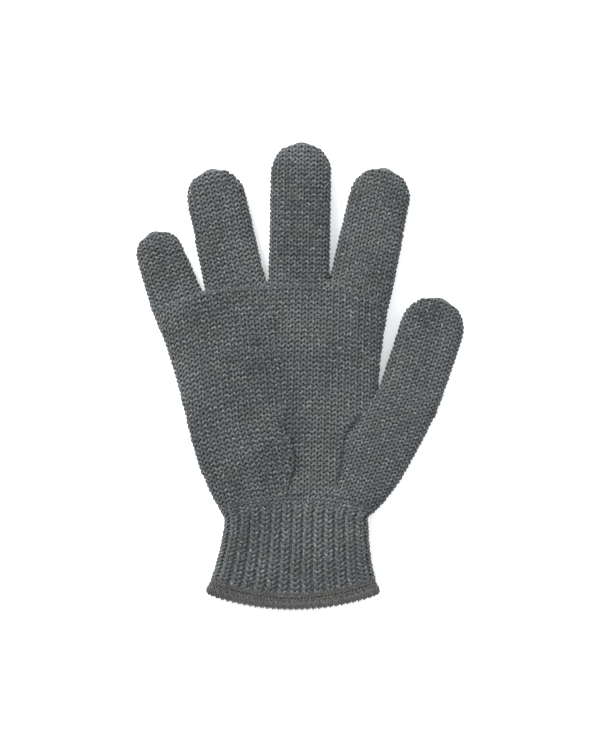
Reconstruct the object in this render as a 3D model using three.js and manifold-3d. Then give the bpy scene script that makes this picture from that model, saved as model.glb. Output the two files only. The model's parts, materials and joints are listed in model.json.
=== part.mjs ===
// A seamless knitted glove, lying flat with its palm side up.
// Millimetres. +Y runs from the cuff to the fingertips, +X towards the thumb, +Z up from the table.
// The fabric is one thin shell. It is divided where the hand inside it bends, so that it can flex.
import * as THREE from 'three';
import { mergeVertices } from 'three/addons/utils/BufferGeometryUtils.js';
import Module from 'manifold-3d';

const wasm = await Module();
wasm.setup();

// Fabric and thickness of the two layers with air between them.
const WALL = 1.8;
const PALM_THICKNESS = 13;
const FINGER_THICKNESS = 11;
const EDGE_RADIUS = 4;
const JOINT_GAP = 0.3;

// Palm. Heights are measured up from the wrist line, offsets sideways from the wrist's centre.
const PALM_LENGTH = 126.4;
const WRIST_WIDTH = 71;
const MIDDLE_FINGER_OFFSET = 1.7;
const THUMB_CROTCH_HEIGHT = 63.2;
const INDEX_SIDE_TAPER = 8.6;
const RING_ROOT_DROP = 8.5;
const CROTCH_GAP = 1.2;

// Cuff, measured down from the wrist line. The hem bows downwards between its two corners.
const CUFF_LENGTH = 37;
const CUFF_MOUTH_WIDTH = 86;
const HEM_BOW = 7.4;
const HEM_HEIGHT = 6.4;

// Elastic yarn laid into the cuff as one continuous spiral.
const ELASTIC_DIAMETER = 1;
const ELASTIC_TURNS = 4;
const ELASTIC_TOP_DROP = 5;
const ELASTIC_ABOVE_HEM = 4.8;
const ELASTIC_CLEARANCE = 0.4;
const ELASTIC_SIDE_CLEARANCE = 2.4;

// Fingers. Lean is in degrees from +Y towards the thumb; joints lie at heights above the root line.
const FINGERS = {
  little: { lean: -20, rootWidth: 27, tipWidth: 24.2, length: 36.5, joints: [14, 25] },
  ring: { lean: -12.5, rootWidth: 30.8, tipWidth: 29.4, length: 58.8, joints: [23, 42] },
  middle: { lean: 1, rootWidth: 30.6, tipWidth: 30.4, length: 59.2, joints: [23, 42] },
  index: { lean: 12.2, rootWidth: 31.8, tipWidth: 30.6, length: 51.1, joints: [20, 36.5] },
  thumb: { lean: 18.4, rootWidth: 31.4, tipWidth: 32, length: 52.7, joints: [27] },
};
const SEGMENT_NAMES = { 2: ['base', 'tip'], 3: ['base', 'middle', 'tip'] };

// Each finger's tube runs on into the palm's, and narrows there.
const FINGER_OVERLAP = 14;
const OVERLAP_NARROWING = 4;

// Side edges: outward bulges in millimetres, at shares of the straight line between two corners.
const LITTLE_SIDE_BULGES = [[0.18, 3.4], [0.4, 2.8], [0.75, -1]];
const THUMB_BASE_BULGES = [[0.25, 3.2], [0.5, 3], [0.75, 1.6]];
const INDEX_SIDE_BULGES = [[0.3, -1.1], [0.65, -1.2]];
const CUFF_SIDE_BULGES = [[0.3, -1.2], [0.65, -1.4]];

const BEYOND = 300;
const ARC_POINTS = 9;
const EDGE_POINTS = 6;
const HEM_POINTS = 10;

const toRadians = (degrees) => (degrees * Math.PI) / 180;

// A finger's own directions: along it towards the tip, and across it towards the thumb side.
function along(finger) {
  const angle = toRadians(finger.lean);
  return new THREE.Vector2(Math.sin(angle), Math.cos(angle));
}

function across(finger) {
  const angle = toRadians(finger.lean);
  return new THREE.Vector2(Math.cos(angle), -Math.sin(angle));
}

// The point at a height above the finger's root line; side is -1 on its little-finger side, 1 on the other.
function rootPoint(finger, side, height) {
  return finger.root
    .clone()
    .addScaledVector(across(finger), (side * finger.rootWidth) / 2)
    .addScaledVector(along(finger), height);
}

function placeBesideCorner(finger, corner, side) {
  finger.root = corner.clone().addScaledVector(across(finger), (side * finger.rootWidth) / 2);
}

// The root lines form a chain: each finger starts at the corner of the one beside it.
function placeFingers({ little, ring, middle, index, thumb }) {
  middle.root = new THREE.Vector2(MIDDLE_FINGER_OFFSET, PALM_LENGTH);
  const ringCorner = rootPoint(middle, -1, -RING_ROOT_DROP);
  ringCorner.x -= CROTCH_GAP;
  placeBesideCorner(ring, ringCorner, -1);
  const littleCorner = rootPoint(ring, -1, 0);
  littleCorner.x -= CROTCH_GAP;
  placeBesideCorner(little, littleCorner, -1);
  const indexCorner = rootPoint(middle, 1, 0);
  indexCorner.x += CROTCH_GAP;
  placeBesideCorner(index, indexCorner, 1);
  const thumbCorner = new THREE.Vector2(
    rootPoint(index, 1, 0).x - INDEX_SIDE_TAPER,
    THUMB_CROTCH_HEIGHT,
  );
  placeBesideCorner(thumb, thumbCorner, 1);
}

// The points of a smooth edge from one corner up to the next one, which is left out.
// The outline runs clockwise, so outward is to the left of each edge.
function bulgedEdge(from, to, bulges) {
  const direction = to.clone().sub(from);
  const outward = new THREE.Vector2(-direction.y, direction.x).normalize();
  const points = bulges.map(([share, bulge]) =>
    from.clone().addScaledVector(direction, share).addScaledVector(outward, bulge),
  );
  return new THREE.SplineCurve([from, ...points, to]).getPoints(EDGE_POINTS).slice(0, -1);
}

function reversed(bulges) {
  return bulges.map(([share, bulge]) => [1 - share, bulge]).reverse();
}

const cuffCorner = (side, drop) => new THREE.Vector2(
  (side * (WRIST_WIDTH + ((CUFF_MOUTH_WIDTH - WRIST_WIDTH) * drop) / CUFF_LENGTH)) / 2,
  -drop,
);

// The bowed lower edge of the cuff, from its thumb side to its little-finger side.
function hemCurve(drop) {
  const bow = new THREE.Vector2(0, -drop - 2 * HEM_BOW);
  return new THREE.QuadraticBezierCurve(cuffCorner(1, drop), bow, cuffCorner(-1, drop));
}

// Palm and cuff in plan, clockwise from the cuff's little-finger corner. The mouth is at mouthDrop.
function bodyOutline({ little, ring, middle, index, thumb }, mouthDrop) {
  const below = -JOINT_GAP / 2;
  const cuff = [-1, 1].map((side) => cuffCorner(side, mouthDrop));
  const wrist = [-1, 1].map((side) => cuffCorner(side, 0));
  const littleCorner = rootPoint(little, -1, below);
  const indexCorner = rootPoint(index, 1, below);
  const thumbCorners = [-1, 1].map((side) => rootPoint(thumb, side, below));
  return new THREE.Shape([
    ...bulgedEdge(cuff[0], wrist[0], reversed(CUFF_SIDE_BULGES)),
    ...bulgedEdge(wrist[0], littleCorner, LITTLE_SIDE_BULGES),
    littleCorner,
    rootPoint(little, 1, below),
    ...[ring, middle].flatMap((finger) => [-1, 1].map((side) => rootPoint(finger, side, below))),
    rootPoint(index, -1, below),
    ...bulgedEdge(indexCorner, thumbCorners[0], reversed(INDEX_SIDE_BULGES)),
    thumbCorners[0],
    ...bulgedEdge(thumbCorners[1], wrist[1], reversed(THUMB_BASE_BULGES)),
    ...bulgedEdge(wrist[1], cuff[1], CUFF_SIDE_BULGES),
    ...hemCurve(mouthDrop).getPoints(HEM_POINTS).slice(0, -1),
  ]);
}

// A finger in plan, in its own frame: its root line on y = 0 and a round tip.
function fingerOutline(finger) {
  const tipRadius = finger.tipWidth / 2;
  const rootHalf = finger.rootWidth / 2;
  const overlapHalf = rootHalf - OVERLAP_NARROWING;
  const shape = new THREE.Shape();
  shape.moveTo(-overlapHalf, -FINGER_OVERLAP);
  shape.lineTo(overlapHalf, -FINGER_OVERLAP);
  shape.lineTo(rootHalf, 0);
  shape.absarc(0, finger.length - tipRadius, tipRadius, 0, Math.PI, false);
  shape.lineTo(-rootHalf, 0);
  return shape;
}

function toSolid(geometry) {
  geometry.deleteAttribute('normal');
  geometry.deleteAttribute('uv');
  const merged = mergeVertices(geometry, 1e-4);
  return new wasm.Manifold(
    new wasm.Mesh({
      numProp: 3,
      vertProperties: new Float32Array(merged.attributes.position.array),
      triVerts: new Uint32Array(merged.index.array),
    }),
  );
}

function toGeometry(solid) {
  const mesh = solid.getMesh();
  const geometry = new THREE.BufferGeometry();
  geometry.setAttribute('position', new THREE.BufferAttribute(mesh.vertProperties, mesh.numProp));
  geometry.setIndex(new THREE.BufferAttribute(mesh.triVerts, 1));
  geometry.computeVertexNormals();
  return geometry;
}

// A pillow of the given thickness over an outline pulled in by inset all round, with round edges.
function pillow(outline, thickness, inset) {
  const radius = EDGE_RADIUS - inset;
  const geometry = new THREE.ExtrudeGeometry(outline, {
    depth: thickness - 2 * EDGE_RADIUS,
    bevelThickness: radius,
    bevelSize: radius,
    bevelOffset: -EDGE_RADIUS,
    bevelSegments: 2,
    curveSegments: ARC_POINTS,
  });
  geometry.translate(0, 0, EDGE_RADIUS);
  return geometry;
}

function fingerMatrix(finger) {
  return new THREE.Matrix4()
    .makeRotationZ(-toRadians(finger.lean))
    .setPosition(finger.root.x, finger.root.y, 0);
}

function fingerPillow(finger, inset) {
  return toSolid(pillow(fingerOutline(finger), FINGER_THICKNESS, inset).applyMatrix4(fingerMatrix(finger)));
}

// Everything of the object between two heights, in a finger's frame or, without one, in the palm's.
function slab(low, high, matrix = new THREE.Matrix4()) {
  const geometry = new THREE.BoxGeometry(2 * BEYOND, high - low, 2 * BEYOND);
  geometry.translate(0, (low + high) / 2, 0);
  return toSolid(geometry.applyMatrix4(matrix));
}

// The region below the hem curve at a drop.
function belowHem(drop) {
  const shape = new THREE.Shape([
    new THREE.Vector2(BEYOND, -drop),
    ...hemCurve(drop).getPoints(HEM_POINTS),
    new THREE.Vector2(-BEYOND, -drop),
    new THREE.Vector2(-BEYOND, -BEYOND),
    new THREE.Vector2(BEYOND, -BEYOND),
  ]);
  const geometry = new THREE.ExtrudeGeometry(shape, { depth: 2 * BEYOND, bevelEnabled: false });
  geometry.translate(0, 0, -BEYOND);
  return toSolid(geometry);
}

// The spiral runs just inside the cuff's fabric, round a flattened loop that widens towards the mouth.
class ElasticSpiral extends THREE.Curve {
  getPoint(share, target = new THREE.Vector3()) {
    const angle = 2 * Math.PI * ELASTIC_TURNS * share;
    const lowestDrop = CUFF_LENGTH - HEM_HEIGHT - ELASTIC_ABOVE_HEM;
    const drop = ELASTIC_TOP_DROP + (lowestDrop - ELASTIC_TOP_DROP) * share;
    const inset = WALL + ELASTIC_CLEARANCE + ELASTIC_DIAMETER / 2;
    const halfWidth = cuffCorner(1, drop).x - inset - ELASTIC_SIDE_CLEARANCE;
    const halfHeight = PALM_THICKNESS / 2 - inset;
    const flatten = (value) => Math.sign(value) * Math.sqrt(Math.abs(value));
    return target.set(
      halfWidth * flatten(Math.cos(angle)),
      -drop,
      PALM_THICKNESS / 2 + halfHeight * flatten(Math.sin(angle)),
    );
  }
}

function elasticGeometry() {
  const section = new THREE.Shape().absarc(0, 0, ELASTIC_DIAMETER / 2, 0, 2 * Math.PI);
  return new THREE.ExtrudeGeometry(section, {
    steps: ELASTIC_TURNS * 16,
    curveSegments: 3,
    extrudePath: new ElasticSpiral(),
  });
}

function makeMaterials() {
  return {
    fabric: new THREE.MeshStandardMaterial({ color: 0x5a5e60, roughness: 0.95, metalness: 0 }),
    rib: new THREE.MeshStandardMaterial({ color: 0x565b5d, roughness: 0.95, metalness: 0 }),
    hem: new THREE.MeshStandardMaterial({ color: 0x57544f, roughness: 0.95, metalness: 0 }),
    elastic: new THREE.MeshStandardMaterial({ color: 0xcfcabf, roughness: 0.7, metalness: 0 }),
  };
}

function addMesh(group, name, geometry, material) {
  const mesh = new THREE.Mesh(geometry, material);
  mesh.name = name;
  group.add(mesh);
}

// The parts of one finger's shell, cut across at its joints.
function addFinger(group, name, finger, cavity, material) {
  const shell = fingerPillow(finger, 0).subtract(cavity);
  const stops = [0, ...finger.joints, BEYOND];
  const names = SEGMENT_NAMES[stops.length - 1];
  names.forEach((part, i) => {
    const cut = slab(stops[i] + JOINT_GAP / 2, stops[i + 1] - JOINT_GAP / 2, fingerMatrix(finger));
    const title = name === 'thumb' ? 'thumb' : `${name}_finger`;
    addMesh(group, `${title}_${part}`, toGeometry(shell.intersect(cut)), material);
  });
}

function makeGlove() {
  placeFingers(FINGERS);
  const fingers = Object.values(FINGERS);
  const materials = makeMaterials();
  const glove = new THREE.Group();

  let outside = toSolid(pillow(bodyOutline(FINGERS, CUFF_LENGTH), PALM_THICKNESS, 0));
  let cavity = toSolid(pillow(bodyOutline(FINGERS, CUFF_LENGTH + BEYOND / 10), PALM_THICKNESS, WALL));
  for (const finger of fingers) {
    const stub = slab(-BEYOND, -JOINT_GAP / 2, fingerMatrix(finger));
    outside = outside.add(fingerPillow(finger, 0).intersect(stub));
    cavity = cavity.add(fingerPillow(finger, WALL));
  }
  const shell = outside.subtract(cavity);

  const crotch = THUMB_CROTCH_HEIGHT;
  const half = JOINT_GAP / 2;
  const hemTop = CUFF_LENGTH - HEM_HEIGHT;
  const hand = shell.intersect(slab(half, BEYOND));
  const cuff = shell.intersect(slab(-BEYOND, -half));
  addMesh(glove, 'upper_palm', toGeometry(hand.intersect(slab(crotch + half, BEYOND))), materials.fabric);
  addMesh(glove, 'lower_palm', toGeometry(hand.intersect(slab(0, crotch - half))), materials.fabric);
  addMesh(glove, 'rib_cuff', toGeometry(cuff.subtract(belowHem(hemTop - half))), materials.rib);
  addMesh(glove, 'hem_edging', toGeometry(cuff.intersect(belowHem(hemTop + half))), materials.hem);
  addMesh(glove, 'cuff_elastic', elasticGeometry(), materials.elastic);
  for (const [name, finger] of Object.entries(FINGERS)) {
    addFinger(glove, name, finger, cavity, materials.fabric);
  }

  // The origin is the middle of the glove's footprint, on the table.
  const box = new THREE.Box3().setFromObject(glove);
  const centre = box.getCenter(new THREE.Vector3());
  glove.position.set(-centre.x, -centre.y, -box.min.z);
  return glove;
}

export default makeGlove();
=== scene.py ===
"""A seamless knitted glove lying flat, palm side up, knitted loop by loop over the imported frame.

Lengths here are millimetres until a mesh is made. Plan points are (x, y) pairs of the row frame.
"""
import json
import math

import bpy
import numpy as np
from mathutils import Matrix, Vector
from mathutils.bvhtree import BVHTree


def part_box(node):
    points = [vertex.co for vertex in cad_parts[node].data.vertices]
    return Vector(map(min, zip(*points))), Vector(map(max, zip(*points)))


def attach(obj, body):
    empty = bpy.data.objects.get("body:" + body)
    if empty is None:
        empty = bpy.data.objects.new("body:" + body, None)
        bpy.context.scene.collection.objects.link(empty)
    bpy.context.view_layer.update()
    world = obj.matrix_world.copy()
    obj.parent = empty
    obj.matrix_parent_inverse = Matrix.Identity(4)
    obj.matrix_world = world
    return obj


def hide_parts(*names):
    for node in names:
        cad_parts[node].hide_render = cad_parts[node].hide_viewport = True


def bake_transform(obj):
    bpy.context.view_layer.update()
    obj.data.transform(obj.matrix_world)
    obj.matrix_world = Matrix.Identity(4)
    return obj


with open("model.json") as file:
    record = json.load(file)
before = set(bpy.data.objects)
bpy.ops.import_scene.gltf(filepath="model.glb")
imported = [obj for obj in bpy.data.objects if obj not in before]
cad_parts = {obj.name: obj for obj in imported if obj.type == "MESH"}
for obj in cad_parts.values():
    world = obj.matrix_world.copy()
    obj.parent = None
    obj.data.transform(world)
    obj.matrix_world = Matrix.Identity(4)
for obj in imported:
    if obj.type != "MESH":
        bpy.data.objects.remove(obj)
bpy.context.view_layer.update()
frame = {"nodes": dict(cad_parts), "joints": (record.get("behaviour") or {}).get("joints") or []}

MM = 0.001
SEED = 7

# Stitches. Rise is half a loop's height in courses, sway its sideways swing in wales. Looseness is the
# spread of the loops' sizes, followed by how much of it shows in a loop's place, height and depth. The
# loosest depth is how far a loop may lie outside the others.
WALE = 3.08
FINGER_COURSE = 2.22
PALM_COURSE = 2.36
LOOP_RISE = 0.58
LOOP_SWAY = 0.265
LOOP_DEPTH = 0.60
YARN_HALF_WIDTH = 0.62
YARN_HALF_THICKNESS = 0.52
STITCH_STEPS = 16
YARN_SIDES = 6
LOOSENESS = 0.07
LOOSE_SHIFT, LOOSE_HEIGHT, LOOSE_DEPTH = 0.6, 0.6, 2.0
LOOSEST_DEPTH = 0.08


# Fabric. Middle and half are the height of the fabric's middle and half the distance between its faces.
PALM_WALE = 3.15
EDGE_ROUNDING = 8.0
EDGE_INSET = 0.9
PALM_MIDDLE, PALM_HALF = 6.5, 5.2
FINGER_MIDDLE, FINGER_HALF = 5.5, 4.2
ROOT_FADE = 3.5
THICKNESS_FADE = 12.0
TIP_ROUNDING = 9.0
TIP_CLEARANCE = 0.7
TIP_BOW = 2.2
TIP_SHARE = 0.95
CAP_OVERLAP = 0.4
DRAWN_TURNS = [(-0.1, -0.2), (0.3, -0.9)]
DRAWN_STEPS = 120
BEND_START, BEND_LENGTH = 0.5, 11.0
LINING_OUTER, LINING_INNER = 0.6, 1.0
RIB_LINING = (0.8, 1.3)
LINING_STEP = 4

# The baking map: the lining's share of it, and the margins beside each strip of yarn and each lining.
LINING_SHARE = 0.14
STRIP_MARGIN = 0.06
LINING_MARGIN = 0.02
LINE_SLACK = 1.02
PLIES = 2
PLY_TURNS_PER_MM = 0.35

# Lumps a metre in the yarn's colours and fuzz.
FLECKS, BROAD_LUMPS, TINT_LUMPS, FUZZ = 900, 45, 70, 4200

# Plan points of the palm, from the little finger's side to the thumb's.
KNUCKLES = [(-72.4, 30.6), (-48.3, 39.0), (-16.2, 43.0), (15.4, 43.0), (43.9, 36.5)]
THUMB_CROTCH = (38.1, -7.9)
THUMB_HEEL = (67.0, -17.7)
WRIST_LINE = [(-39.0, -66.5), (-7.3, -60.5), (15.4, -60.5), (37.0, -66.0)]
LITTLE_RING_LINE = [(-6.3, -54.3), (-3.9, -49.3), (-2.9, -41.9), (-4.4, -33.5), (-9.3, -23.2)]
THUMB_FOLD = [(16.4, -55.7), (18.6, -48.8), (19.8, -40.9), (20.6, -30.6)]
CENTRE_LEFT = [(-10.5, -60.0), (-9.3, -23.2)]
CENTRE_RIGHT = [(33.6, -61.5), (35.6, -30.6)]
LEFT_GUIDE = [(0.4, -62.0), (-9.3, -23.2), (-16.2, 43.5)]
CENTRE_GUIDE = [(13.0, -61.0), (15.4, 43.0)]
THUMB_GUIDE = [(30.3, -63.0), (52.6, -12.8)]
FOLD_HEIGHT = 3.2
FOLD_TURN = 0.35
FOLD_ROUNDING = 1.8
UNDER_THUMB = 4.6
THUMB_DIP, THUMB_DIP_WIDTH, THUMB_DIP_END = 2.8, 7.0, 3.0
FOLD_START_LEFT, FOLD_START_RIGHT = 16.5, 20.0
FOLD_RAMP = 6.0
FOLD_AT_WRIST = 0.15
LEFT_TOP_BOW, CENTRE_TOP_BOW, WRIST_BOW = 3.7, 3.1, 0.8
THUMB_ROW_STRETCH = 1.18

# Cuff and hem.
RIBS = 29
RIB_COURSES = 20
RIB_FACE_SHARE = 0.72
RIB_RELIEF = 1.0
RIB_FADE_COURSES = 4.0
RIB_YARN = 0.76
CUFF_HALF = 5.2
CUFF_TOP_DROP = 0.35
CUFF_TOP_BOW = 6.0
WRIST_OVERLAP = 0.7
WRIST_BLEND_COURSES = 11
HEM_BOW = 7.4
MOUTH_SHIFT = 1.6
HEM_LOW_SIDE = -107.0
HEM_TOP = -101.5
HEM_OVERLAP = 1.0
HEM_COURSES = 4
HEM_WALE = 1.7
HEM_INSET = 0.1
HEM_LOOP_DEPTH, HEM_LIFT = 0.45, 0.15
HEM_YARN_WIDTH, HEM_YARN_THICKNESS = 0.4, 0.35
ELASTIC_TURNS, ELASTIC_STEPS = 4, 160
ELASTIC_LOW_COURSE = 1.0
ELASTIC_DEPTH = 2.1
ELASTIC_HALF = 0.5
OVERCAST_PITCH = 0.95
OVERCAST_REACHES = (0.8, 1.2, 1.0)
OVERCAST_YARN = 0.46

# One turn of the overcast thread, as reaches past the edge and heights above the fabric's middle.
OVERCAST_TURN = [(1.0, 0.75), (0.45, 1.05), (-0.35, 0.8), (-0.8, -0.4),
                 (-0.35, -1.9), (0.45, -2.3), (1.0, -1.9), (1.15, -0.5)]

# The floor is lit from below as well, like a light table. Its reach and the key light's place are in metres.
FLOOR_GLOW = 0.34
FLOOR_REACH = 3.0
KEY_PLACE, KEY_SIZE, KEY_POWER = (-0.65, 1.0, 0.78), 0.6, 24
SKY_STRENGTH = 1.14

# The camera looks straight down on a frame this tall.
FRAME_HEIGHT = 370.2
VIEW_CENTRE_Y = -0.5
VIEW_LEVEL = 10.0
LENS = 100

# Steps that curves and surfaces are made in.
SECTION_POINTS = 181
FACE_POINTS = 90
CURVE_STEPS = 80
EDGE_STEPS = 40
SURFACE_ROWS_PER_COURSE = 2
ROW_MARGIN = 1.5


def smooth(t):
    t = np.clip(t, 0.0, 1.0)
    return t * t * (3 - 2 * t)


# ---------------------------------------------------------------- places taken from the frame


def node_points(name):
    mesh = frame["nodes"][name].data
    co = np.empty(len(mesh.vertices) * 3)
    mesh.vertices.foreach_get("co", co)
    return co.reshape(-1, 3) / MM


def joint(name):
    return next(j for j in frame["joints"] if j["name"] == name)


ROOT_SLICE = 1.0
BELOW_ROOT = 0.2


class Finger:
    """A finger's root, directions and plan outline, measured on its CAD nodes."""

    def __init__(self, name, title, parts):
        first = joint(f"{name}_base_bend")
        self.parts = [f"{title}_{part}" for part in parts]
        self.joints = [joint(f"{name}_{part}_bend") for part in parts]
        self.root = np.array(first["pos_m"][:2]) / MM
        across = np.array(first["axis"][:2])
        self.across = across
        self.along = np.array([-across[1], across[0]])
        base = self.local(node_points(self.parts[0]))
        tip = self.local(node_points(self.parts[-1]))
        self.length = tip[:, 1].max()
        self.root_half = np.abs(base[base[:, 1] < ROOT_SLICE][:, 0]).max()
        self.tip_half = np.abs(tip[:, 0]).max()
        self.knuckles = [self.height(j) for j in self.joints]

    def local(self, points):
        plan = points[:, :2] - self.root
        return np.stack([plan @ self.across, plan @ self.along], axis=1)

    def height(self, j):
        return float((np.array(j["pos_m"][:2]) / MM - self.root) @ self.along)

    def point(self, sideways, height):
        return self.root + np.multiply.outer(sideways, self.across) + np.multiply.outer(height, self.along)

    def half_width(self, height):
        """Half the finger's width, round at the tip and straight down to the root and beyond."""
        centre = self.length - self.tip_half
        share = np.clip(height / centre, -BELOW_ROOT, 1)
        straight = self.root_half + (self.tip_half - self.root_half) * share
        beyond = np.clip((height - centre) / self.tip_half, 0, TIP_SHARE)
        return straight * np.sqrt(1 - beyond**2) - EDGE_INSET


FINGERS = {
    "little": Finger("little", "little_finger", ["base", "middle", "tip"]),
    "ring": Finger("ring", "ring_finger", ["base", "middle", "tip"]),
    "middle": Finger("middle", "middle_finger", ["base", "middle", "tip"]),
    "index": Finger("index", "index_finger", ["base", "middle", "tip"]),
    "thumb": Finger("thumb", "thumb", ["base", "tip"]),
}
WRIST_Y = joint("wrist")["pos_m"][1] / MM
PALM_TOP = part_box("upper_palm")[1].z / MM
FINGER_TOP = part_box("middle_finger_base")[1].z / MM


def outline_tree(names):
    vertices, faces = [], []
    for name in names:
        mesh = frame["nodes"][name].data
        start = len(vertices)
        vertices += [v.co / MM for v in mesh.vertices]
        faces += [[start + i for i in p.vertices] for p in mesh.polygons]
    return BVHTree.FromPolygons(vertices, faces)


SIDES = outline_tree(["upper_palm", "lower_palm", "rib_cuff", "hem_edging"])
FAR = 200.0
JOINT_GAP = 0.4


def edge_x(y, side):
    """Where the body of the glove ends at a height, on its little-finger side (-1) or thumb side (1)."""
    for nearby in (0, JOINT_GAP, -JOINT_GAP):
        hit = SIDES.ray_cast(Vector((side * FAR, y + nearby, PALM_TOP / 2)), Vector((-side, 0, 0)))[0]
        if hit is not None:
            return hit.x


def edge_curve(y_from, y_to, side):
    """The fabric's middle along one side of the glove."""
    heights = np.linspace(y_from, y_to, EDGE_STEPS)
    return np.array([[edge_x(y, side) - side * EDGE_INSET, y] for y in heights])


def curve_point(points, share):
    """Points at shares of a polyline's length; shares outside 0 to 1 run straight on."""
    points = np.asarray(points, float)
    steps = np.linalg.norm(np.diff(points, axis=0), axis=1)
    reach = np.concatenate([[0], np.cumsum(steps)]) / steps.sum()
    share = np.asarray(share, float)
    inside = np.clip(share, 0, 1)
    found = np.stack([np.interp(inside, reach, points[:, i]) for i in (0, 1)], axis=-1)
    first = (points[1] - points[0]) / (reach[1] - reach[0])
    last = (points[-1] - points[-2]) / (reach[-1] - reach[-2])
    below = np.minimum(share, 0)[..., None] * first
    above = np.maximum(share - 1, 0)[..., None] * last
    return found + below + above


# ---------------------------------------------------------------- surfaces


class Surface:
    """A tube or sheet of fabric in rows: even steps along each section, sections one under another."""

    def __init__(self, sections, low):
        self.grid = np.array(sections)
        self.low = low
        steps = np.linalg.norm(np.diff(self.grid, axis=1), axis=2)
        self.lengths = steps.sum(axis=1)
        along = np.gradient(self.grid, axis=1)
        up = np.gradient(self.grid, axis=0)
        normals = np.cross(along, up)
        self.normals = normals / np.maximum(np.linalg.norm(normals, axis=2, keepdims=True), 1e-9)

    def row(self, v):
        return (v - self.low) * SURFACE_ROWS_PER_COURSE

    def length(self, v):
        return np.interp(self.row(v), np.arange(len(self.lengths)), self.lengths)

    def at(self, q, v):
        """Positions and outward normals at distances q along the sections at course heights v."""
        rows, columns = self.grid.shape[:2]
        r = np.clip(self.row(v), 0, rows - 1.001)
        c = np.clip(q / self.length(v) * (columns - 1), 0, columns - 1.001)
        r0, c0 = r.astype(int), c.astype(int)
        fr, fc = (r - r0)[:, None], (c - c0)[:, None]

        def blend(values):
            low = values[r0, c0] * (1 - fc) + values[r0, c0 + 1] * fc
            high = values[r0 + 1, c0] * (1 - fc) + values[r0 + 1, c0 + 1] * fc
            return low * (1 - fr) + high * fr

        return blend(self.grid), blend(self.normals)


def even_points(points, count):
    steps = np.linalg.norm(np.diff(points, axis=0), axis=1)
    reach = np.concatenate([[0], np.cumsum(steps)])
    wanted = np.linspace(0, reach[-1], count)
    return np.stack([np.interp(wanted, reach, points[:, i]) for i in range(3)], axis=1)


def face_shares():
    """Shares across a face from one edge to the other, closer together near the edges."""
    return (1 - np.cos(np.linspace(0, math.pi, FACE_POINTS))) / 2


class Patch:
    """A tube or folded sheet of fabric between a left and a right plan curve, in courses from its low end.

    left, right: plan points at a course height v.
    middle, half: height of the fabric's middle above the floor and half its thickness, at v.
    closed: "both" for a tube, or "left" or "right" for a sheet folded round that edge only.
    openness: how far each edge stays at full height, 0 for a rounded edge to 1 for none, at v.
    relief: how far both faces sink, from the distances to the left and right edges and v.
    bow: how far the middle of a section lies below its ends, at v.
    guide: plan points of the line that the wales of a sheet run beside, at v.
    """

    def __init__(self, left, right, courses, middle, half, closed="both", openness=None, relief=None,
                 bow=lambda v: 0.0, guide=None):
        self.courses = courses
        self.guide = guide
        self.closed = closed
        self.sides = (left, right)
        self.heights = (middle, half)
        self.openness = openness or (lambda v: (float(closed == "right"), float(closed == "left")))
        self.relief = relief or (lambda from_left, from_right, v: 0.0)
        self.bow = bow
        count = int((courses + 2 * ROW_MARGIN) * SURFACE_ROWS_PER_COURSE) + 1
        made = [self.section(-ROW_MARGIN + i / SURFACE_ROWS_PER_COURSE) for i in range(count)]
        self.surface = Surface([section for section, _ in made], -ROW_MARGIN)
        self.marks = np.array([marks for _, marks in made])

    def section(self, v):
        """One even section, and the distances along it that wales are counted from or to."""
        start, end = self.sides[0](v), self.sides[1](v)
        middle, half = self.heights[0](v), self.heights[1](v)
        share = face_shares()
        width = np.linalg.norm(end - start)
        plan = start + share[:, None] * (end - start)
        upward = np.array([start[1] - end[1], end[0] - start[0]]) / width
        plan -= (self.bow(v) * 4 * share * (1 - share))[:, None] * upward
        from_left, from_right = share * width, (1 - share) * width
        rise = half - self.relief(from_left, from_right, v)
        rounding = min(EDGE_ROUNDING, width / 2)
        for distance, opened in zip((from_left, from_right), self.openness(v)):
            near = np.clip(distance / rounding, 0, 1)
            rise = rise * (opened + (1 - opened) * np.sqrt(1 - (1 - near) ** 2))
        front = np.column_stack([plan, middle + rise])
        back = np.column_stack([plan, middle - rise])
        left_edge = np.append(plan[0], middle)
        right_edge = np.append(plan[-1], middle)
        if self.closed == "left":
            path = np.vstack([back[::-1], left_edge, front])
        elif self.closed == "right":
            path = np.vstack([front, right_edge, back[::-1]])
        else:
            path = np.vstack([left_edge, front, right_edge, back[::-1], left_edge])
        reach = np.concatenate([[0], np.cumsum(np.linalg.norm(np.diff(path, axis=0), axis=1))])
        length, edge = reach[-1], reach[len(back if self.closed == "left" else front)]
        if self.closed == "both":
            centre = reach[1 + len(front) // 2]
            marks = [centre, length / 2, length - centre, length, length + centre]
        else:
            beside = (self.guide(v) - start) @ (end - start) / width**2
            along_front = np.linalg.norm(np.diff(front, axis=0), axis=1)
            to_guide = np.interp(beside, share, np.append(0, np.cumsum(along_front)))
            to_guide += (beside - np.clip(beside, 0, 1)) * width
            first = edge + to_guide if self.closed == "left" else to_guide
            marks = [0, min(first, length - first), edge, max(first, length - first), length]
        return even_points(path, SECTION_POINTS), marks

    def mark(self, index, v):
        return np.interp(self.surface.row(v), np.arange(len(self.marks)), self.marks[:, index])


# ---------------------------------------------------------------- loops of yarn


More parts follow.
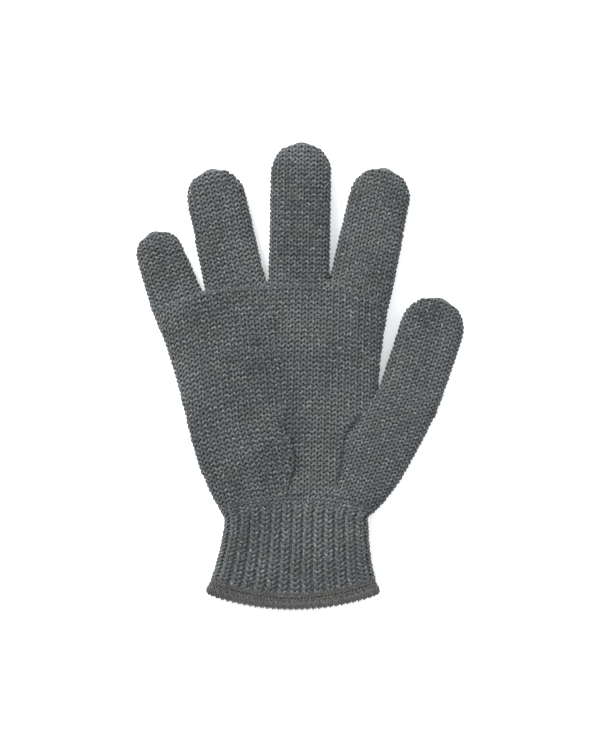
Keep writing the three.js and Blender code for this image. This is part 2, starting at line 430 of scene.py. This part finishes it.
class Yarn:
    """Collects swept yarn as quads, with one UV strip for each swept path."""

    def __init__(self):
        self.vertices, self.faces, self.strips, self.count = [], [], [], 0

    def sweep(self, points, normals, closed, width=YARN_HALF_WIDTH, thickness=YARN_HALF_THICKNESS):
        n = len(points)
        if closed:
            tangent = np.roll(points, -1, axis=0) - np.roll(points, 1, axis=0)
        else:
            tangent = np.gradient(points, axis=0)
        tangent /= np.maximum(np.linalg.norm(tangent, axis=1, keepdims=True), 1e-9)
        side = np.cross(tangent, normals)
        side /= np.maximum(np.linalg.norm(side, axis=1, keepdims=True), 1e-9)
        up = np.cross(side, tangent)
        angle = 2 * math.pi * np.arange(YARN_SIDES) / YARN_SIDES
        ring = (points[:, None]
                + width * np.cos(angle)[None, :, None] * side[:, None]
                + thickness * np.sin(angle)[None, :, None] * up[:, None])
        self.vertices.append(ring.reshape(-1, 3))
        spans = n if closed else n - 1
        i, j = np.meshgrid(np.arange(spans), np.arange(YARN_SIDES), indexing="ij")
        i2, j2 = (i + 1) % n, (j + 1) % YARN_SIDES
        corners = [i * YARN_SIDES + j, i2 * YARN_SIDES + j, i2 * YARN_SIDES + j2, i * YARN_SIDES + j2]
        quads = np.stack(corners, axis=-1).reshape(-1, 4) + self.count
        reach = np.concatenate([[0], np.cumsum(np.linalg.norm(np.diff(points, axis=0), axis=1))])
        self.faces.append((quads, i.ravel(), j.ravel(), reach, n, closed))
        self.count += n * YARN_SIDES


def wales(marks, wale, closed):
    """A course's stitches as (mark, offset, mark, offset).

    Whole wales are counted both ways from each guide. At a folded edge what is left over is shared out
    between one or two stitches more, and a cut edge ends in one stitch of half to one and a half wales.
    """
    stitches = []
    folds = [(0, 1, 2), (2, 3, 4)] if closed else [(1, 2, 3)]
    for guide, edge, following in folds:
        first, last = 0, 0
        if not closed:
            first = math.ceil((marks[0] - marks[1]) / wale + 0.5)
            last = math.floor((marks[4] - marks[3]) / wale - 0.5)
            stitches.append((0, 0.0, guide, first * wale))
        up = math.floor((marks[edge] - marks[guide]) / wale)
        down = math.floor((marks[following] - marks[edge]) / wale)
        spare = marks[following] - marks[guide] - (up + down) * wale
        extra = int(spare / wale + 0.5)
        lines = [(guide, i * wale) for i in range(first, up + 1)]
        lines += [(guide, up * wale + spare * (i + 1) / extra) for i in range(extra - 1)]
        far_lines = [(following, i * wale) for i in range(-down, last + 1)]
        stitches += [a + b for a, b in zip(lines[:-1], lines[1:])]
        if extra:
            stitches.append(lines[-1] + far_lines[0])
        stitches += [a + b for a, b in zip(far_lines[:-1], far_lines[1:])]
        if not closed:
            stitches.append((following, last * wale, 4, 0.0))
    return stitches


def loop_shapes(rng, count, rise, depth, sway):
    """Many loops from sinker to sinker, as shares of the wale, heights in courses and depths."""
    t = np.linspace(-math.pi, math.pi, STITCH_STEPS, endpoint=False)[None, :]
    uneven = LOOSENESS * rng.standard_normal((5, count, 1))
    middle = np.cos(t / 2)
    share = (t + math.pi) / (2 * math.pi) + sway * (1 + uneven[0]) * np.sin(2 * t)
    share = share + LOOSE_SHIFT * uneven[1] * middle
    height = rise * (1 + LOOSE_HEIGHT * uneven[2]) * np.cos(t) + uneven[3] * middle
    z = -depth * np.cos(2 * t) + LOOSE_DEPTH * uneven[4] * middle
    z = np.clip(z, -depth - LOOSEST_DEPTH, depth + LOOSEST_DEPTH)
    return share, height, z


def knit(yarn, patch, rng, first, last, wale, rise=LOOP_RISE, depth=LOOP_DEPTH, sway=LOOP_SWAY):
    """Adds the courses first to last of a patch, one path of yarn for each course."""
    surface = patch.surface
    closed = patch.closed == "both"
    for course in range(first, last):
        v0 = course + 0.5
        marks = [float(patch.mark(i, v0)) for i in range(patch.marks.shape[1])]
        stitches = wales(marks, wale, closed)
        share, height, z = loop_shapes(rng, len(stitches), rise, depth, sway)
        v = v0 + height
        q = np.zeros_like(v)
        for i, (a, offset_a, b, offset_b) in enumerate(stitches):
            start = patch.mark(a, v[i]) + offset_a
            end = patch.mark(b, v[i]) + offset_b
            q[i] = start + share[i] * (end - start)
        lay(yarn, surface, q.ravel(), v.ravel(), z.ravel(), closed)


def lay(yarn, surface, q, v, z, closed, width=YARN_HALF_WIDTH, thickness=YARN_HALF_THICKNESS):
    """Sweeps one path of yarn given as distances, course heights and depths on a surface."""
    length = surface.length(v)
    q = np.mod(q, length) if closed else np.clip(q, 0, length)
    position, normal = surface.at(q, v)
    yarn.sweep(position + normal * z[:, None], normal, closed, width, thickness)


def backing(patch, first, last, capped=False, depths=(LINING_OUTER, LINING_INNER)):
    """Vertices and faces of the thin closed lining under the loops, from course first to course last."""
    surface = patch.surface
    rows = np.arange(max(0, math.floor(surface.row(first))), math.ceil(surface.row(last)) + 1)
    points = surface.grid[rows][:, ::LINING_STEP]
    normals = surface.normals[rows][:, ::LINING_STEP]
    layers = []
    for depth in depths:
        layer = points - depth * normals
        if capped:
            end = layer[-1].copy()
            end[:, 2] = patch.heights[0](last)
            layer = np.concatenate([layer, end[None]])
        layers.append(layer)
    r, c = layers[0].shape[:2]
    index = np.arange(r * c).reshape(r, c)
    corners = [index[:-1, :-1], index[:-1, 1:], index[1:, 1:], index[1:, :-1]]
    outside = np.stack(corners, axis=-1).reshape(-1, 4)
    rims = [index[0], index[:, -1], index[-1][::-1], index[::-1, 0]]
    strips = [np.stack([rim[1:], rim[:-1], rim[:-1] + r * c, rim[1:] + r * c], axis=-1) for rim in rims]
    vertices = np.concatenate([layer.reshape(-1, 3) for layer in layers])
    return vertices, np.concatenate([outside, outside[:, ::-1] + r * c] + strips), (r, c)


# ---------------------------------------------------------------- materials


def srgb(red, green, blue):
    """Linear colour from sRGB values of 11 to 255."""
    return tuple(((c / 255 + 0.055) / 1.055) ** 2.4 for c in (red, green, blue)) + (1,)


def new_material(name):
    material = bpy.data.materials.new(name)
    material.use_nodes = True
    tree = material.node_tree
    shader = tree.nodes["Principled BSDF"]
    return material, tree, shader


def add_node(tree, kind, **settings):
    node = tree.nodes.new(kind)
    for key, value in settings.items():
        setattr(node, key, value)
    return node


def noise(tree, scale, detail=2.0):
    """Noise on the object's own coordinates, scale in lumps a metre."""
    place = add_node(tree, "ShaderNodeTexCoord")
    node = add_node(tree, "ShaderNodeTexNoise")
    node.inputs["Scale"].default_value = scale
    node.inputs["Detail"].default_value = detail
    tree.links.new(place.outputs["Object"], node.inputs["Vector"])
    return node.outputs["Fac"]


def ramp(tree, value, stops):
    node = add_node(tree, "ShaderNodeValToRGB")
    elements = node.color_ramp.elements
    while len(elements) < len(stops):
        elements.new(0.5)
    for element, (place, colour) in zip(elements, stops):
        element.position = place
        element.color = colour
    tree.links.new(value, node.inputs["Fac"])
    return node.outputs["Color"]


def mix(tree, share, first, second, mode="MIX"):
    """Mixes two colour outputs; share is a number or an output."""
    node = add_node(tree, "ShaderNodeMix", data_type="RGBA", blend_type=mode)
    if isinstance(share, (int, float)):
        node.inputs["Factor"].default_value = share
    else:
        tree.links.new(share, node.inputs["Factor"])
    tree.links.new(first, node.inputs["A"])
    tree.links.new(second, node.inputs["B"])
    return node.outputs["Result"]


def twist(tree):
    """Light and dark stripes that run round the yarn as its plies do, from the yarn's own map. In the
    colour, the dark stripes are painted shade in the grooves between the plies.
    """
    place = add_node(tree, "ShaderNodeUVMap", uv_map="Yarn")
    wave = add_node(tree, "ShaderNodeTexWave", wave_type="BANDS", bands_direction="DIAGONAL")
    wave.inputs["Scale"].default_value = 1.0
    wave.inputs["Distortion"].default_value = 1.2
    wave.inputs["Detail"].default_value = 2.0
    tree.links.new(place.outputs["UV"], wave.inputs["Vector"])
    return wave.outputs["Fac"]


def tinted(tree, colour, cool, warm):
    """The colour with broad patches that lean to a cooler or a warmer tint."""
    patches = ramp(tree, noise(tree, TINT_LUMPS, 4), [(0.38, cool), (0.62, warm)])
    return mix(tree, 1.0, colour, patches, "MULTIPLY")


def yarn_material(name, dark, middle, light, roughness=0.85, sheen=0.25):
    """Spun yarn: heathered in lumps and fine flecks, with twisted plies whose grooves get painted shade, and
    fuzz that catches the light.
    """
    material, tree, shader = new_material(name)
    fine = ramp(tree, noise(tree, FLECKS, 4), [(0.30, dark), (0.53, middle), (0.72, light)])
    broad = ramp(tree, noise(tree, BROAD_LUMPS, 3), [(0.35, middle), (0.65, light)])
    heather = tinted(tree, mix(tree, 0.2, fine, broad), (0.97, 0.99, 1.03, 1), (1.01, 1.01, 0.98, 1))
    plies = twist(tree)
    # Painted shade: the ply stripes darken the colour in the grooves between the plies.
    shade = ramp(tree, plies, [(0.0, (0.72, 0.72, 0.72, 1)), (0.6, (1, 1, 1, 1))])
    tree.links.new(mix(tree, 0.8, heather, shade, "MULTIPLY"), shader.inputs["Base Color"])
    rough = add_node(tree, "ShaderNodeMapRange")
    rough.inputs["To Min"].default_value = roughness - 0.08
    rough.inputs["To Max"].default_value = min(1.0, roughness + 0.1)
    tree.links.new(plies, rough.inputs["Value"])
    tree.links.new(rough.outputs["Result"], shader.inputs["Roughness"])
    bump = add_node(tree, "ShaderNodeBump")
    bump.inputs["Strength"].default_value = 0.5
    bump.inputs["Distance"].default_value = 0.0002
    tree.links.new(plies, bump.inputs["Height"])
    fuzz = add_node(tree, "ShaderNodeBump")
    fuzz.inputs["Strength"].default_value = 0.35
    fuzz.inputs["Distance"].default_value = 0.00015
    tree.links.new(noise(tree, FUZZ, 3), fuzz.inputs["Height"])
    tree.links.new(bump.outputs["Normal"], fuzz.inputs["Normal"])
    tree.links.new(fuzz.outputs["Normal"], shader.inputs["Normal"])
    shader.inputs["Specular IOR Level"].default_value = 0.25
    shader.inputs["Sheen Weight"].default_value = sheen
    shader.inputs["Sheen Roughness"].default_value = 0.5
    return material


def lining_material():
    """The backs of the loops seen through the gaps and inside the glove."""
    material, tree, shader = new_material("inside_yarn")
    colour = ramp(tree, noise(tree, 700, 4), [(0.3, srgb(64, 67, 67)), (0.7, srgb(98, 101, 101))])
    tree.links.new(colour, shader.inputs["Base Color"])
    bump = add_node(tree, "ShaderNodeBump")
    bump.inputs["Strength"].default_value = 0.6
    bump.inputs["Distance"].default_value = 0.0004
    tree.links.new(noise(tree, 600, 2), bump.inputs["Height"])
    tree.links.new(bump.outputs["Normal"], shader.inputs["Normal"])
    shader.inputs["Roughness"].default_value = 0.95
    return material


# ---------------------------------------------------------------- pieces


def add_uvs(mesh, yarn, lining_faces, lining_shape):
    """Two maps: each strip of yarn laid out flat for baking, and distances along and round it for plies."""
    bake = np.zeros((len(mesh.loops), 2))
    plies = np.zeros((len(mesh.loops), 2))
    total = sum(reach[-1] for _, _, _, reach, _, _ in yarn.faces)
    girth = 2 * math.pi * YARN_HALF_WIDTH
    lines = max(1, int(math.sqrt(total * (1 - LINING_SHARE) / girth)))
    line_length = total / lines * LINE_SLACK
    start, loop = 0.0, 0
    for quads, i, j, reach, count, closed in yarn.faces:
        step = reach[1] - reach[0]
        ends = np.append(reach, reach[-1] + step)
        low, high = start + ends[i], start + ends[i + 1]
        line = np.floor(low / line_length)
        u = np.stack([low, high, high, low], axis=1) - (line * line_length)[:, None]
        around = np.stack([j, j, j + 1, j + 1], axis=1) / YARN_SIDES
        block = slice(loop, loop + 4 * len(quads))
        bake[block, 0] = np.minimum(u / (line_length + 2 * step), 1).ravel()
        across = line[:, None] + STRIP_MARGIN + (1 - 2 * STRIP_MARGIN) * around
        bake[block, 1] = (across / (lines + 1) * (1 - LINING_SHARE)).ravel()
        plies[block, 0] = np.stack([low, high, high, low], axis=1).ravel() * PLY_TURNS_PER_MM
        plies[block, 1] = around.ravel() * PLIES
        start += reach[-1] + step
        loop += 4 * len(quads)
    rows, columns = lining_shape
    layer, rest = np.divmod(lining_faces.ravel(), rows * columns)
    row, column = np.divmod(rest, columns)
    bake[loop:, 0] = (layer + LINING_MARGIN + (1 - 2 * LINING_MARGIN) * column / (columns - 1)) / 2
    bake[loop:, 1] = 1 - LINING_SHARE * (1 - LINING_MARGIN) * (1 - row / (rows - 1))
    for name, values in (("OFBake", bake), ("Yarn", plies)):
        mesh.uv_layers.new(name=name).data.foreach_set("uv", values.astype(np.float32).ravel())


def make_piece(name, yarn, lining, materials):
    """One mesh of yarn over its lining, in metres."""
    lining_points, lining_faces, lining_shape = lining or (np.empty((0, 3)), np.empty((0, 4), int), (2, 2))
    points = np.concatenate(yarn.vertices + [lining_points]) * MM
    faces = np.concatenate([f[0] for f in yarn.faces] + [lining_faces + yarn.count])
    mesh = bpy.data.meshes.new(name)
    mesh.vertices.add(len(points))
    mesh.vertices.foreach_set("co", points.astype(np.float32).ravel())
    mesh.loops.add(4 * len(faces))
    mesh.loops.foreach_set("vertex_index", faces.astype(np.int32).ravel())
    mesh.polygons.add(len(faces))
    mesh.polygons.foreach_set("loop_start", np.arange(0, 4 * len(faces), 4, dtype=np.int32))
    mesh.polygons.foreach_set("use_smooth", np.ones(len(faces), bool))
    for material in materials:
        mesh.materials.append(material)
    inside = np.arange(len(faces)) >= len(faces) - len(lining_faces)
    mesh.polygons.foreach_set("material_index", inside.astype(np.int32))
    mesh.update(calc_edges=True)
    add_uvs(mesh, yarn, lining_faces, lining_shape)
    piece = bpy.data.objects.new(name, mesh)
    bpy.context.collection.objects.link(piece)
    return piece


def draw_in(yarn, patch, last):
    """The yarn's end drawn round through the open loops of the last course, which closes a fingertip."""
    share = np.arange(DRAWN_STEPS) / DRAWN_STEPS
    for beyond, depth in DRAWN_TURNS:
        v = np.full(DRAWN_STEPS, last + beyond)
        lay(yarn, patch.surface, share * patch.surface.length(v), v, np.full(DRAWN_STEPS, depth), True)


def knitted_piece(name, patch, first, last, wale=WALE, capped=False):
    rng = np.random.default_rng([SEED, sum(map(ord, name))])
    yarn = Yarn()
    knit(yarn, patch, rng, first, last, wale)
    if capped:
        draw_in(yarn, patch, last)
    lining = backing(patch, first, last + CAP_OVERLAP * capped, capped)
    return make_piece(name, yarn, lining, [KNIT, LINING])


def finger_point(finger, height):
    return tuple(finger.point(0.0, height) * MM) + (FINGER_TOP * MM,)


def build_finger(finger, left_root, right_root, opened):
    """A closed tube from the palm's knuckle line to the tip, in one piece for each of its joints."""
    left_local = finger.local(np.array([left_root]))[0]
    right_local = finger.local(np.array([right_root]))[0]
    base = (left_local[1] + right_local[1]) / 2
    courses = round((finger.length - base - TIP_CLEARANCE) / FINGER_COURSE)
    course = (finger.length - base - TIP_CLEARANCE) / courses

    def tip_drop(v):
        return TIP_BOW * smooth((base + v * course - finger.length + TIP_ROUNDING) / TIP_ROUNDING)

    def side(root, sign):
        def at(v):
            height = base + v * course - tip_drop(v)
            offset = np.array(root) - finger.point(sign * finger.half_width(base), base)
            fade = 1 - smooth(v * course / ROOT_FADE)
            return finger.point(sign * finger.half_width(height), height) + fade * offset
        return at

    def fade_in(v):
        return smooth(v * course / THICKNESS_FADE)

    def middle(v):
        return PALM_MIDDLE + (FINGER_MIDDLE - PALM_MIDDLE) * fade_in(v)

    def half(v):
        height = base + v * course
        beyond = np.clip((height - finger.length + TIP_ROUNDING) / TIP_ROUNDING, 0, TIP_SHARE)
        return (PALM_HALF + (FINGER_HALF - PALM_HALF) * fade_in(v)) * math.sqrt(1 - beyond**2)

    def openness(v):
        shut = 1 - smooth(v * course / ROOT_FADE)
        return opened[0] * shut, opened[1] * shut

    patch = Patch(side(left_root, -1), side(right_root, 1), courses, middle, half, openness=openness,
                  bow=lambda v: -tip_drop(v))
    bends = finger.knuckles
    ends = [base] + [(a + b) / 2 for a, b in zip(bends[:-1], bends[1:])] + [finger.length]
    for i, part in enumerate(finger.parts):
        first = 0 if i == 0 else round((ends[i] - base) / course)
        last = courses if i == len(bends) - 1 else round((ends[i + 1] - base) / course)
        piece = knitted_piece(f"{part}_knit", patch, first, last, capped=last == courses)
        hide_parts(part)
        start = bends[i] + BEND_START
        end = min(bends[i] + BEND_LENGTH, ends[i + 1])
        finger_point(finger, start)
        finger_point(finger, end)
        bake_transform(piece)


def line(points, rounded=0):
    """A plan curve by share of its length, with its corners rounded over that many of its steps."""
    points = curve_point(points, np.linspace(0, 1, CURVE_STEPS + 1))
    if rounded:
        window = np.ones(2 * rounded + 1) / (2 * rounded + 1)
        before = 2 * points[0] - points[rounded:0:-1]
        after = 2 * points[-1] - points[-2:-rounded - 2:-1]
        longer = np.vstack([before, points, after])
        points = np.stack([np.convolve(longer[:, i], window, "valid") for i in (0, 1)], axis=1)
    return lambda share: curve_point(points, share)


def between(curve, courses):
    return lambda v: curve(v / courses)


# ---------------------------------------------------------------- palm


def palm_piece(name, patch, first, last, node=None):
    piece = knitted_piece(name, patch, first, last, PALM_WALE)
    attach(piece, "palm")
    if node:
        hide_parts(node)
    return piece


def fold_drop(distance, amount):
    """How far a fold's edge turns down, from the distance to it."""
    near = np.clip(1 - distance / FOLD_ROUNDING, 0, 1)
    return amount * FOLD_HEIGHT * FOLD_TURN * near**2


def build_palm():
    """Three panels, as the wales run: below the little and ring fingers, below the next two, the thumb's.

    The first lies over the middle one, and the middle one over the thumb's, in folds that fade out upwards.
    """
    left_courses = round((KNUCKLES[2][1] - WRIST_LINE[1][1]) / PALM_COURSE)
    left_edge = line(edge_curve(WRIST_LINE[0][1], KNUCKLES[0][1], -1))
    left_fold = line([WRIST_LINE[1]] + LITTLE_RING_LINE + [KNUCKLES[2]], 5)
    centre_left = line(CENTRE_LEFT + [KNUCKLES[2]])
    index_side = list(edge_curve(THUMB_CROTCH[1] + 2, KNUCKLES[4][1], 1))
    centre_right = line(CENTRE_RIGHT + [THUMB_CROTCH] + index_side)
    thumb_courses = round((THUMB_CROTCH[1] - WRIST_LINE[2][1]) / PALM_COURSE * THUMB_ROW_STRETCH)
    thumb_fold = line([WRIST_LINE[2]] + THUMB_FOLD + [THUMB_CROTCH], 6)
    thumb_edge = line(edge_curve(WRIST_LINE[3][1], THUMB_HEEL[1], 1))

    def towards_wrist(v):
        return FOLD_AT_WRIST + (1 - FOLD_AT_WRIST) * smooth(v / FOLD_RAMP)

    def folded_left(v):
        return smooth((FOLD_START_LEFT - v) / FOLD_RAMP) * towards_wrist(v)

    def folded_right(v):
        return smooth((FOLD_START_RIGHT - v) / FOLD_RAMP) * towards_wrist(v)

    def thumb_width(v):
        """How much of the middle panel lies under the thumb's."""
        x, y = centre_right(v / left_courses)
        fold_points = thumb_fold(np.linspace(0, 1, EDGE_STEPS))
        return x - np.interp(y, fold_points[:, 1], fold_points[:, 0])

    def sink(from_left, from_right, v):
        share = from_left / (from_left + from_right)
        under_thumb = smooth((thumb_width(v) - from_right) / FOLD_ROUNDING)
        return FOLD_HEIGHT * (1 - share) * folded_left(v) + UNDER_THUMB * under_thumb * folded_right(v)

    def left_relief(from_left, from_right, v):
        return fold_drop(from_right, folded_left(v))

    def thumb_relief(from_left, from_right, v):
        near = 1 - smooth(from_left / THUMB_DIP_WIDTH)
        return THUMB_DIP * near * smooth((thumb_courses - THUMB_DIP_END - v) / FOLD_RAMP) * towards_wrist(v)

    def thumb_openness(v):
        return float(smooth((thumb_courses - v) / FOLD_RAMP)), 0.0

    def palm_patch(left, right, courses, closed, guide, relief, top_bow, openness=None):
        return Patch(between(left, courses), between(right, courses), courses, lambda v: PALM_MIDDLE,
                     lambda v: PALM_HALF, closed, openness, relief, guide=between(line(guide), courses),
                     bow=lambda v: -WRIST_BOW + (WRIST_BOW - top_bow) * v / courses)

    little_side = palm_patch(
        left_edge, left_fold, left_courses, "left", LEFT_GUIDE, left_relief, LEFT_TOP_BOW)
    centre = palm_patch(
        centre_left, centre_right, left_courses, "right", CENTRE_GUIDE, sink, CENTRE_TOP_BOW)
    thumb_side = palm_patch(
        thumb_fold, thumb_edge, thumb_courses, "right", THUMB_GUIDE, thumb_relief, 0.0, thumb_openness)
    middle_row = left_courses // 2
    palm_piece("little_side_upper_palm", little_side, middle_row, left_courses, "upper_palm")
    palm_piece("little_side_lower_palm", little_side, 0, middle_row, "lower_palm")
    palm_piece("centre_upper_palm", centre, middle_row, left_courses)
    palm_piece("centre_lower_palm", centre, 0, middle_row)
    palm_piece("thumb_side_palm", thumb_side, 0, thumb_courses)


# ---------------------------------------------------------------- cuff and hem


def cuff_patch(courses, low, high, low_bow, high_bow, half):
    def side(sign):
        curve = edge_curve(low, high, sign)
        to_mouth = (WRIST_Y - curve[:, 1]) / (WRIST_Y - HEM_LOW_SIDE)
        curve[:, 0] -= MOUTH_SHIFT * smooth(to_mouth)
        return between(line(curve), courses)

    return Patch(side(-1), side(1), courses, lambda v: PALM_MIDDLE, half,
                 bow=lambda v: low_bow + (high_bow - low_bow) * v / courses)


def rib_course(rng, patch, course):
    """One course of one-by-one rib: wide face loops on the ridges, narrow back loops sunk between them.

    The relief fades out towards the palm, where every wale is a face wale.
    """
    v0 = course + 0.5
    ribbed = float(smooth((patch.courses - v0) / RIB_FADE_COURSES))
    pitch = 1 / RIBS
    face = (0.5 + (RIB_FACE_SHARE - 0.5) * ribbed) * pitch
    share, height, z = loop_shapes(rng, 2 * RIBS, LOOP_RISE, LOOP_DEPTH, LOOP_SWAY)
    starts = pitch * np.arange(RIBS)
    start = np.stack([starts, starts + face], axis=1).reshape(-1, 1)
    width = np.tile([face, pitch - face], RIBS)[:, None]
    back = np.tile([False, True], RIBS)[:, None]
    z = np.where(back, z * (1 - 2 * ribbed) - RIB_RELIEF * ribbed, z)
    q = (start + width * share) * patch.surface.length((v0 + height).ravel()).reshape(height.shape)
    yarn_width = YARN_HALF_WIDTH + (RIB_YARN - YARN_HALF_WIDTH) * ribbed
    return q.ravel(), (v0 + height).ravel(), z.ravel(), yarn_width


def rib_piece(name, patch, first, last):
    rng = np.random.default_rng([SEED, sum(map(ord, name))])
    yarn = Yarn()
    for course in range(first, last):
        q, v, z, yarn_width = rib_course(rng, patch, course)
        lay(yarn, patch.surface, q, v, z, True, yarn_width)
    lining = backing(patch, first, last, depths=RIB_LINING)
    return make_piece(name, yarn, lining, [KNIT, LINING])


def build_cuff():
    courses = RIB_COURSES

    def half(v):
        return CUFF_HALF - CUFF_TOP_DROP * smooth(1 - (courses - v) / RIB_FADE_COURSES)

    patch = cuff_patch(courses, HEM_TOP, WRIST_LINE[0][1] + WRIST_OVERLAP, HEM_BOW, -CUFF_TOP_BOW, half)
    crossing = courses - WRIST_BLEND_COURSES
    upper = rib_piece("cuff_wrist_knit", patch, crossing, courses)
    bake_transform(upper)
    lower = rib_piece("cuff_rib_knit", patch, 0, crossing)
    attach(lower, "cuff")
    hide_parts("rib_cuff")
    build_elastic(patch)


def build_elastic(patch):
    """The elastic thread laid in round the inside of the cuff, in as many turns as the CAD spiral."""
    side_low, side_high = patch.sides[0](0)[1], patch.sides[0](patch.courses)[1]
    top = (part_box("cuff_elastic")[1].y / MM - side_low) / (side_high - side_low) * patch.courses
    steps = np.linspace(0, 1, ELASTIC_TURNS * ELASTIC_STEPS)
    v = top + (ELASTIC_LOW_COURSE - top) * steps
    q = steps * ELASTIC_TURNS % 1.0 * patch.surface.length(v)
    position, normal = patch.surface.at(q, v)
    yarn = Yarn()
    yarn.sweep(position - normal * ELASTIC_DEPTH, normal, False, ELASTIC_HALF, ELASTIC_HALF)
    piece = make_piece("cuff_elastic_thread", yarn, None, [ELASTIC])
    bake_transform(piece)
    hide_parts("cuff_elastic")


def hem_overcast(yarn, patch):
    """The sewing thread that wraps the hem's edge in close slanted turns, over both walls of the mouth."""
    length = float(patch.surface.length(0.0))
    scallops = round(length / OVERCAST_PITCH / len(OVERCAST_REACHES))
    reaches = np.tile(OVERCAST_REACHES, scallops)
    heights = np.outer(reaches, [height for height, _ in OVERCAST_TURN]).ravel()
    depths = np.tile([depth for _, depth in OVERCAST_TURN], len(reaches))
    q = np.arange(len(heights)) / len(heights) * length
    lay(yarn, patch.surface, q, heights, depths, True, OVERCAST_YARN, OVERCAST_YARN)


def build_hem():
    patch = cuff_patch(HEM_COURSES, HEM_LOW_SIDE, HEM_TOP + HEM_OVERLAP, HEM_BOW, HEM_BOW,
                       lambda v: CUFF_HALF - HEM_INSET)
    rng = np.random.default_rng([SEED, 1])
    yarn = Yarn()
    for course in range(HEM_COURSES):
        length = float(patch.surface.length(course + 0.5))
        count = round(length / HEM_WALE)
        share, height, z = loop_shapes(rng, count, LOOP_RISE, HEM_LOOP_DEPTH, LOOP_SWAY)
        q = (np.arange(count)[:, None] + share) / count * length
        v = course + 0.5 + height
        lay(yarn, patch.surface, q.ravel(), v.ravel(), z.ravel() + HEM_LIFT, True, HEM_YARN_WIDTH,
            HEM_YARN_THICKNESS)
    hem_overcast(yarn, patch)
    lining = backing(patch, 0.0, HEM_COURSES)
    piece = make_piece("hem_overcast_band", yarn, lining, [HEM_YARN, LINING])
    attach(piece, "cuff")
    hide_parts("hem_edging")


# ---------------------------------------------------------------- floor, light and camera


def build_stage():
    material, _, shader = new_material("pale_floor")
    shader.inputs["Base Color"].default_value = (0.97, 0.97, 0.97, 1)
    shader.inputs["Roughness"].default_value = 0.9
    shader.inputs["Specular IOR Level"].default_value = 0.0
    shader.inputs["Emission Color"].default_value = (1, 1, 1, 1)
    shader.inputs["Emission Strength"].default_value = FLOOR_GLOW
    mesh = bpy.data.meshes.new("floor")
    corners = [(x * FLOOR_REACH, y * FLOOR_REACH, 0) for x, y in ((-1, -1), (1, -1), (1, 1), (-1, 1))]
    mesh.from_pydata(corners, [], [(0, 1, 2, 3)])
    mesh.materials.append(material)
    floor = bpy.data.objects.new("floor", mesh)
    bpy.context.collection.objects.link(floor)


def build_lights():
    """A bright, slightly cool studio all round, and one soft light from beyond the little finger's tip."""
    world = bpy.data.worlds.new("studio")
    world.use_nodes = True
    background = world.node_tree.nodes["Background"]
    background.inputs["Color"].default_value = (0.93, 0.95, 1.0, 1)
    background.inputs["Strength"].default_value = SKY_STRENGTH
    bpy.context.scene.world = world
    data = bpy.data.lights.new("key_light", "AREA")
    data.size = KEY_SIZE
    data.energy = KEY_POWER
    key = bpy.data.objects.new("key_light", data)
    key.location = KEY_PLACE
    key.rotation_euler = (-Vector(KEY_PLACE)).to_track_quat("-Z", "Y").to_euler()
    bpy.context.collection.objects.link(key)
    bpy.context.scene.view_settings.view_transform = "Standard"


def build_camera():
    data = bpy.data.cameras.new("camera")
    data.lens = LENS
    camera = bpy.data.objects.new("camera", data)
    distance = FRAME_HEIGHT * MM * data.lens / data.sensor_width
    camera.location = (0, VIEW_CENTRE_Y * MM, distance + VIEW_LEVEL * MM)
    bpy.context.collection.objects.link(camera)
    bpy.context.scene.camera = camera


KNIT = yarn_material("grey_heather_yarn", srgb(40, 43, 43), srgb(67, 71, 70), srgb(136, 139, 137))
LINING = lining_material()
HEM_YARN = yarn_material("hem_yarn", srgb(52, 51, 49), srgb(76, 74, 71), srgb(112, 109, 105))
ELASTIC = yarn_material("elastic_thread", srgb(40, 41, 42), srgb(58, 60, 61), srgb(84, 86, 87), 0.6, 0.1)

build_camera()
build_lights()
build_stage()
roots = list(zip(FINGERS.values(), KNUCKLES[:-1], KNUCKLES[1:], [(0, 1), (1, 1), (1, 1), (1, 0)]))
for finger, left_root, right_root, opened in roots:
    build_finger(finger, left_root, right_root, opened)
build_finger(FINGERS["thumb"], THUMB_CROTCH, THUMB_HEEL, (0, 0))
build_palm()
build_cuff()
build_hem()
